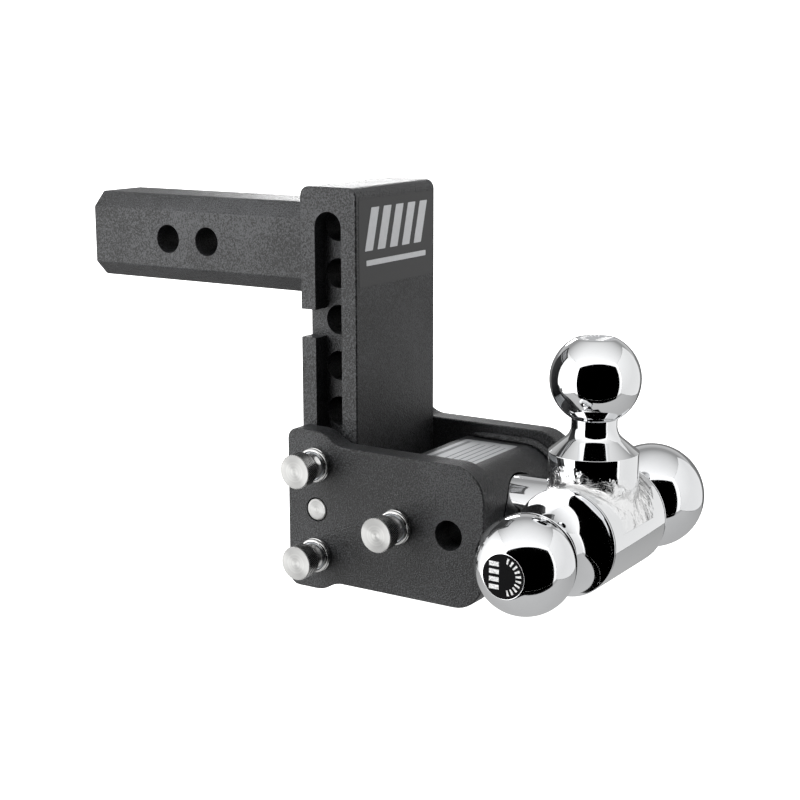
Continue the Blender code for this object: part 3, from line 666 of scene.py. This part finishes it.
def make_knob(name):
    """Pull knob: polished waisted neck, faced head and a diamond-knurled band let into its rim."""
    low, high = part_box("knob_" + name)
    centre = Vector((PIN_AT[name].x, high.y, PIN_AT[name].z))
    rim_r = (high - low).z / 2
    length = high.y - low.y
    body = name + "_pin"
    outline = [(NECK_R - 0.3 * MM, 0), (NECK_R, 0.3 * MM)]
    outline += [(NECK_R - WAIST * math.sin(math.pi * i / 8), 0.5 * MM + (KNOB_NECK - 1.0 * MM) * i / 8)
                for i in range(1, 9)]
    outline += [(7.5 * MM, KNOB_NECK - 0.1 * MM), (7.5 * MM, KNOB_NECK + 0.2 * MM)]
    neck = turn_on_lathe("pull_knob_neck_" + name, centre, TOWARDS_NEAR, outline, 96)
    deliver(neck, POLISHED, body, "stainless")

    rows = round((length - 0.55 * MM - KNOB_NECK - 0.6 * MM) / KNURL_ROW) + 1
    first = KNOB_NECK + 0.6 * MM
    last = first + KNURL_ROW * (rows - 1)
    valley = rim_r - KNURL_DEPTH
    seat = valley - 0.25 * MM
    outline = [(7.6 * MM, KNOB_NECK), (8.3 * MM, KNOB_NECK), (seat, KNOB_NECK + 0.3 * MM), (seat, last + 0.1 * MM),
               (rim_r - 0.2 * MM, last + 0.15 * MM), (rim_r - 0.2 * MM, length - 0.3 * MM),
               (rim_r - 0.5 * MM, length)]
    outline += [(r * MM, length) for r in (8.3, 7.0, 5.5, 4.0, 2.5, 1.2, 0.4, 0.08)]
    head = turn_on_lathe("pull_knob_" + name, centre, TOWARDS_NEAR, outline, 128)
    wrap_round(head, centre, TOWARDS_NEAR)
    deliver(head, TURNED, body, "stainless", "knob_" + name)

    inside = seat + BAND_GAP
    outline = [(inside, first - 0.2 * MM), *[(valley, first + KNURL_ROW * i) for i in range(rows)],
               (inside, last + 0.05 * MM), (inside, first - 0.2 * MM)]
    band = turn_on_lathe("pull_knob_knurl_" + name, centre, TOWARDS_NEAR, outline, 2 * KNURL_TEETH, hollow=True)
    band.data.attributes.new("tooth_height", "FLOAT", "POINT")
    pick_up(band)
    bpy.ops.object.mode_set(mode="EDIT")
    bpy.ops.mesh.select_all(action="DESELECT")
    bpy.ops.object.mode_set(mode="OBJECT")
    for vertex, tooth in zip(band.data.vertices, band.data.attributes["tooth_height"].data):
        spot = vertex.co - centre
        row = (-spot.y - first) / KNURL_ROW
        turn = math.atan2(spot.z, spot.x) / (math.pi / KNURL_TEETH)
        on_rim = math.hypot(spot.x, spot.z) > valley - 0.1 * MM
        vertex.select = on_rim and (round(row) + round(turn)) % 2 == 0
        tooth.value = 1.0 if vertex.select else 0.0
    bpy.ops.object.mode_set(mode="EDIT")
    bpy.ops.mesh.select_mode(type="VERT")
    raised = (rim_r - 0.02 * MM) / valley
    bpy.ops.transform.resize(value=(raised, 1, raised), center_override=centre)
    bpy.ops.mesh.select_all(action="DESELECT")
    bpy.ops.object.mode_set(mode="OBJECT")
    smooth(band, 12)
    deliver(band, KNURLED, body, "stainless")


def make_collar(name):
    """Collar against the plate: a rounded lip, a dished face and a fine groove."""
    low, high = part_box("collar_" + name)
    centre = Vector((PIN_AT[name].x, high.y, PIN_AT[name].z))
    rim_r = (high - low).z / 2
    length = high.y - low.y
    outline = [(COLLAR_BORE_R, 0), (rim_r - 0.5 * MM, 0), *arc(rim_r - 0.4 * MM, 0.4 * MM, 0.4 * MM, -60, 0, 3)]
    outline += [(rim_r, 1.6 * MM), (rim_r - 0.35 * MM, 1.85 * MM), (rim_r - 0.35 * MM, 2.15 * MM)]
    outline += arc(rim_r - 1.3 * MM, length - 1.3 * MM, 1.3 * MM, -10, 88, 10)
    outline += [(COLLAR_BORE_R + 0.05 * MM, length - 0.2 * MM), (COLLAR_BORE_R, length - 0.3 * MM), (COLLAR_BORE_R, 0)]
    collar = turn_on_lathe("pin_collar_" + name, centre, TOWARDS_NEAR, outline, 96, hollow=True)
    wrap_round(collar, centre, TOWARDS_NEAR)
    deliver(collar, POLISHED, name + "_pin", "stainless", "collar_" + name)


def make_pin(name):
    """Pin shaft from under the knob to its chamfered tip, grooved for the rubber ring."""
    low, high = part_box("pin_" + name)
    ring_low, ring_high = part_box("ring_" + name)
    centre = Vector((PIN_AT[name].x, low.y, PIN_AT[name].z))
    radius = (high - low).z / 2
    length = high.y - low.y
    ring_at = (ring_low.y + ring_high.y) / 2 - low.y
    ring_outer = (ring_high - ring_low).z / 2
    tube_r = (ring_high - ring_low).y / 2
    floor_r = ring_outer - 2 * tube_r - 0.3 * MM
    half = tube_r + 0.3 * MM
    outline = [(radius - 0.3 * MM, 0), (radius, 0.3 * MM), (radius, ring_at - half - 0.15 * MM),
               (radius - 0.15 * MM, ring_at - half), (floor_r, ring_at - half), (floor_r, ring_at + half),
               (radius - 0.15 * MM, ring_at + half), (radius, ring_at + half + 0.15 * MM),
               (radius, length - 2.5 * MM), (radius - 0.35 * MM, length - 1.9 * MM),
               (radius - 2.1 * MM, length - 0.25 * MM), (radius - 2.5 * MM, length), (0.8 * MM, length),
               (0.4 * MM, length - 0.4 * MM)]
    pin = turn_on_lathe("pin_shaft_" + name, centre, TOWARDS_FAR, outline, 80)
    deliver(pin, PIN_STEEL, name + "_pin", "pin_steel", "pin_" + name)
    seat = Vector((PIN_AT[name].x, (ring_low.y + ring_high.y) / 2, PIN_AT[name].z))
    circle = arc(ring_outer - tube_r, 0, tube_r, 0, 360, 16)
    ring = turn_on_lathe("pin_ring_" + name, seat, TOWARDS_FAR, circle, 64, hollow=True)
    deliver(ring, RUBBER, name + "_pin", "rubber", "ring_" + name)


def make_guide(side, along):
    """Slot guide: a turned button with a rounded edge and a faced front."""
    low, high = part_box("guide_" + side)
    radius = (high - low).z / 2
    length = high.y - low.y
    centre = (low + high) / 2 - along * (length / 2)
    outline = [(radius - 0.3 * MM, 0), (radius, 0.3 * MM), (radius, length - 0.9 * MM),
               *arc(radius - 0.8 * MM, length - 0.8 * MM, 0.8 * MM, 5, 80, 5)]
    outline += [(r * MM, length) for r in (4.6, 3.6, 2.6, 1.7, 0.9, 0.3, 0.08)]
    guide = turn_on_lathe("slot_guide_" + side, centre, along, outline, 72)
    wrap_round(guide, centre, along)
    deliver(guide, TURNED, "hitch", "stainless", "guide_" + side)


# ---------------------------------------------------------------- labels

def sticker(name, mat, width, height, corner, thick, lean=0.0):
    """Flat film cut to size in the XY plane, centred, with round corners and a leaning side if asked."""
    put_down()
    bpy.ops.mesh.primitive_plane_add(size=1)
    film = bpy.context.object
    film.name = film.data.name = name
    film.scale = (width, height, 1)
    bpy.ops.object.transform_apply(location=True, rotation=True, scale=True)
    bpy.ops.object.mode_set(mode="EDIT")
    bpy.ops.mesh.select_all(action="SELECT")
    if corner:
        bpy.ops.mesh.bevel(offset=corner, segments=5, affect="VERTICES")
    bpy.ops.mesh.extrude_region_move(TRANSFORM_OT_translate={"value": (0, 0, thick)})
    bpy.ops.mesh.select_all(action="SELECT")
    bpy.ops.mesh.normals_make_consistent(inside=False)
    bpy.ops.object.mode_set(mode="OBJECT")
    for vertex in film.data.vertices:
        vertex.co.x += lean * vertex.co.y
    film.data.materials.append(mat)
    return film


def stick_on(film, place):
    """Moves a film's mesh to its place, so its object stays at the origin."""
    film.data.transform(place)
    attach(film, "hitch")


FILM_LIFT, FILM_THICK = 0.02 * MM, 0.10 * MM         # a film's back, from the steel
INK_LIFT, INK_THICK = 0.13 * MM, 0.04 * MM
COLUMN_FILM = 74 * MM, 47 * MM      # width and height
STRIPE, STRIPE_PITCH, STRIPE_DROP, STRIPE_LEAN = (7.6 * MM, 23 * MM), 12.2 * MM, 16.5 * MM, 0.28
UNDERLINE, UNDERLINE_DROP = (60 * MM, 3.0 * MM), 34.5 * MM
HOUSING_FILM = 33 * MM, 68 * MM
FIRST_LINE_X, LINE_PITCH, HEADING_GAP = -12 * MM, 4.3 * MM, 3.5 * MM
HEADING_THICK, LINE_THICK = 2.6 * MM, 0.9 * MM


def make_labels():
    """The column's film with stripes and a line, and the housing's film with lines: plain shapes, no words."""
    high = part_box("column")[1]
    # film plane: its X runs to the far side, its Y runs up and its back is on the column's rear face
    upright = Matrix(((0, 0, 1, high.x), (1, 0, 0, 0), (0, 1, 0, 0), (0, 0, 0, 1)))
    film_top = high.z - 6.0 * MM

    def at(y, drop, lift):
        return Matrix.Translation((lift, y, film_top - drop)) @ upright

    film = sticker("column_label_film", BLACK_FILM, *COLUMN_FILM, 1.5 * MM, FILM_THICK)
    stick_on(film, at(0, COLUMN_FILM[1] / 2, FILM_LIFT))
    for index in range(5):
        bar = sticker(f"column_label_stripe_{index + 1}", GREY_INK, *STRIPE, 0.5 * MM, INK_THICK, STRIPE_LEAN)
        stick_on(bar, at((index - 2) * STRIPE_PITCH, STRIPE_DROP, INK_LIFT))
    line = sticker("column_label_line", GREY_INK, *UNDERLINE, 0.4 * MM, INK_THICK)
    stick_on(line, at(0, UNDERLINE_DROP, INK_LIFT))

    low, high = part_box("housing")
    top = Matrix.Translation((low.x + 4 * MM + HOUSING_FILM[0] / 2, -3 * MM, high.z + FILM_LIFT))
    film = sticker("housing_label_film", SILVER_FILM, *HOUSING_FILM, 1.0 * MM, FILM_THICK)
    stick_on(film, top)
    for index in range(6):
        x = FIRST_LINE_X + index * LINE_PITCH + (HEADING_GAP if index else 0)
        thick = LINE_THICK if index else HEADING_THICK
        line = sticker(f"housing_label_line_{index + 1}", DARK_INK, thick, (60 - 4 * (index % 3)) * MM, 0, INK_THICK)
        stick_on(line, Matrix.Translation((x, 0, INK_LIFT - FILM_LIFT)) @ top)


# ---------------------------------------------------------------- studio

CAMERA_AT = Vector((0.6127, -0.7341, 0.1013))
AZIMUTH, ELEVATION, ROLL = 32.547, 12.020, -0.083


def set_camera():
    """Places the camera by where it stands and the three angles that it is turned by."""
    a, e, roll = (math.radians(v) for v in (AZIMUTH, ELEVATION, ROLL))
    back = Vector((math.sin(a) * math.cos(e), -math.cos(a) * math.cos(e), math.sin(e)))
    right = Vector((math.cos(a), math.sin(a), 0))
    up = back.cross(right)
    right, up = (right * math.cos(roll) + up * math.sin(roll), up * math.cos(roll) - right * math.sin(roll))
    data = bpy.data.cameras.new("camera")
    data.lens, data.sensor_width, data.clip_start = 71.68, 36.0, 0.01
    camera = bpy.data.objects.new("camera", data)
    bpy.context.scene.collection.objects.link(camera)
    turn = Matrix((right, up, back)).transposed().to_4x4()
    turn.translation = CAMERA_AT
    camera.matrix_world = turn
    bpy.context.scene.camera = camera


def stage_material(name, hex_code, glow=0.0):
    """A plain dull material for the studio, which may glow white."""
    mat = bpy.data.materials.new(name)
    mat.use_nodes = True
    shader = mat.node_tree.nodes["Principled BSDF"]
    shader.inputs["Base Color"].default_value = colour(hex_code)
    shader.inputs["Roughness"].default_value = 0.8
    shader.inputs["Specular IOR Level"].default_value = 0.0
    shader.inputs["Emission Color"].default_value = (1, 1, 1, 1)
    shader.inputs["Emission Strength"].default_value = glow
    return mat


def lit_cloth():
    """Tent cloth lit from outside; each corner of a card says how bright it is there."""
    mat = stage_material("tent_cloth", "#000000")
    shader = mat.node_tree.nodes["Principled BSDF"]
    glow = node(mat, "ShaderNodeAttribute", {"attribute_name": "glow"})
    mat.node_tree.links.new(glow.outputs["Fac"], shader.inputs["Emission Strength"])
    return mat


FLOOR_Z = -0.45
TENT_HALF, TENT_FRONT, TENT_BACK, TENT_TOP = 0.76, 0.42, -0.80, 0.62
OPENING_HALF, OPENING_TOP = 0.57, 0.39
TABLE_FRONT = 0.315                 # in front of the top ball, where the lit table ends
ROOM_HALF, ROOM_FRONT, ROOM_TOP = 2.4, -1.4, 1.9


def tent_frame():
    """Tent axes: X to the camera's right, Y away from the camera, standing on the floor under the top ball."""
    turn = Matrix.Rotation(math.radians(AZIMUTH), 4, "Z")
    return Matrix.Translation((BARREL_CENTRE.x, BARREL_CENTRE.y, 0)) @ turn


def card(name, mat, corners, glows=(0, 0, 0, 0)):
    """A tent card: it lights the object and shows in its mirror finish, but the camera looks through it."""
    put_down()
    bpy.ops.mesh.primitive_plane_add(size=1)
    panel = bpy.context.object
    panel.name = panel.data.name = name
    order = (0, 1, 3, 2)
    for vertex, index in zip(panel.data.vertices, order):
        vertex.co = tent_frame() @ Vector(corners[index])
    glow = panel.data.attributes.new("glow", "FLOAT", "POINT")
    for point, index in zip(glow.data, order):
        point.value = glows[index]
    panel.data.materials.append(mat)
    panel.visible_camera = False


def facing(x0, x1, y, z0, z1):
    """Corners of an upright card that faces the tent's front."""
    return [(x0, y, z0), (x1, y, z0), (x1, y, z1), (x0, y, z1)]


def beside(x, y0, y1, z0, z1):
    """Corners of an upright card along a side of the tent."""
    return [(x, y0, z0), (x, y1, z0), (x, y1, z1), (x, y0, z1)]


def level(x0, x1, y0, y1, z):
    """Corners of a level card."""
    return [(x0, y0, z), (x1, y0, z), (x1, y1, z), (x0, y1, z)]


def make_studio():
    """Backlit floor, light tent with an open front and a lit table, dark room outside it, and two lamps."""
    put_down()
    bpy.ops.mesh.primitive_plane_add(size=30, location=(0, 0, FLOOR_Z))
    floor = bpy.context.object
    floor.name = "floor"
    floor.data.materials.append(stage_material("backlit_floor", "#f4f4f4", 1.1))

    h, f, b, t = TENT_HALF, -TENT_FRONT, -TENT_BACK, TENT_TOP
    z = FLOOR_Z + 2 * MM
    o, q, n = OPENING_HALF, -TABLE_FRONT, TABLE_FRONT * OPENING_HALF / TENT_FRONT
    cloth = lit_cloth()
    dark = stage_material("dark_room_cloth", "#000000")
    seam = stage_material("tent_seam", "#2a2a2a")
    card("tent_top", cloth, level(-h, h, f, b, t), (1.5, 1.2, 0.35, 0.35))
    card("tent_back", cloth, facing(-h, h, b, z, t), (0.12, 0.12, 0.4, 0.4))
    card("tent_back_strip", cloth, facing(-h, h, b - 5 * MM, 0.10, 0.42), (0.65, 0.65, 0.45, 0.45))
    card("back_softbox", cloth, facing(-0.24, -0.06, b - 10 * MM, 0.14, 0.29), (10, 10, 10, 10))
    card("tent_left", cloth, beside(-h, f, b, z, t), (2.7, 0.5, 0.6, 1.6))
    card("tent_right", cloth, beside(h, f, b, z, t), (0.95, 1.0, 0.95, 1.2))
    card("tent_front_left", cloth, facing(-h, -o, f, z, t), (2.7, 2.7, 1.6, 1.6))
    card("tent_front_right", cloth, facing(o, h, f, z, t), (1.2, 1.2, 1.6, 1.6))
    card("tent_front_top", cloth, facing(-o, o, f, OPENING_TOP, t), (1.6, 1.3, 1.4, 1.7))
    card("tent_table", cloth, level(-h, h, q, b, z), (0.66, 0.6, 0.4, 0.4))
    card("table_corner_left", cloth, [(-h, f, z), (-o, f, z), (-n, q, z), (-h, q, z)], (0.6, 0.6, 0.5, 0.5))
    card("table_corner_right", cloth, [(o, f, z), (h, f, z), (h, q, z), (n, q, z)], (0.55, 0.55, 0.45, 0.45))
    card("dark_table_edge", dark, [(-o, f, z), (o, f, z), (n, q, z), (-n, q, z)])
    card("dark_room_floor", dark, level(-ROOM_HALF, ROOM_HALF, ROOM_FRONT, f - MM, z))
    card("dark_room_wall", dark, facing(-ROOM_HALF, ROOM_HALF, ROOM_FRONT, z, ROOM_TOP))
    s = 5 * MM
    for side, x in (("left", -h), ("right", h)):
        inner = x - math.copysign(2 * MM, x)
        edge = x - math.copysign(s, x)
        card("seam_front_" + side, seam, [(inner, f + s, z), (edge, f + 2 * MM, z), (edge, f + 2 * MM, t),
                                          (inner, f + s, t)])
        card("seam_floor_" + side, seam, beside(inner, f, b, z, z + s))
        card("seam_top_" + side, seam, beside(inner, f, b, t - s, t))

    world = bpy.data.worlds.new("studio")
    bpy.context.scene.world = world
    world.use_nodes = True
    world.node_tree.nodes["Background"].inputs["Color"].default_value = (1, 1, 1, 1)
    world.node_tree.nodes["Background"].inputs["Strength"].default_value = 1.15

    for name, at, size, energy in (("softbox_top", Vector((0.0, 0.1, 0.60)), 0.9, 5.0),
                                   ("softbox_left", Vector((-0.70, -0.1, 0.15)), 0.6, 7.5)):
        data = bpy.data.lights.new(name, "AREA")
        data.shape, data.size, data.energy = "SQUARE", size, energy
        lamp = bpy.data.objects.new(name, data)
        bpy.context.scene.collection.objects.link(lamp)
        lamp.location = tent_frame() @ at
        lamp.rotation_euler = (lamp.location - BARREL_CENTRE).to_track_quat("Z", "Y").to_euler()
        lamp.visible_glossy = False

    bpy.context.scene.view_settings.view_transform = "Standard"


# ---------------------------------------------------------------- everything

make_steelwork()
make_welds()
make_ball_head()
for pin_name in PIN_AT:
    make_pin(pin_name)
    make_collar(pin_name)
    make_knob(pin_name)
make_guide("near", TOWARDS_NEAR)
make_guide("far", TOWARDS_FAR)
make_labels()
make_studio()
set_camera()
put_down()
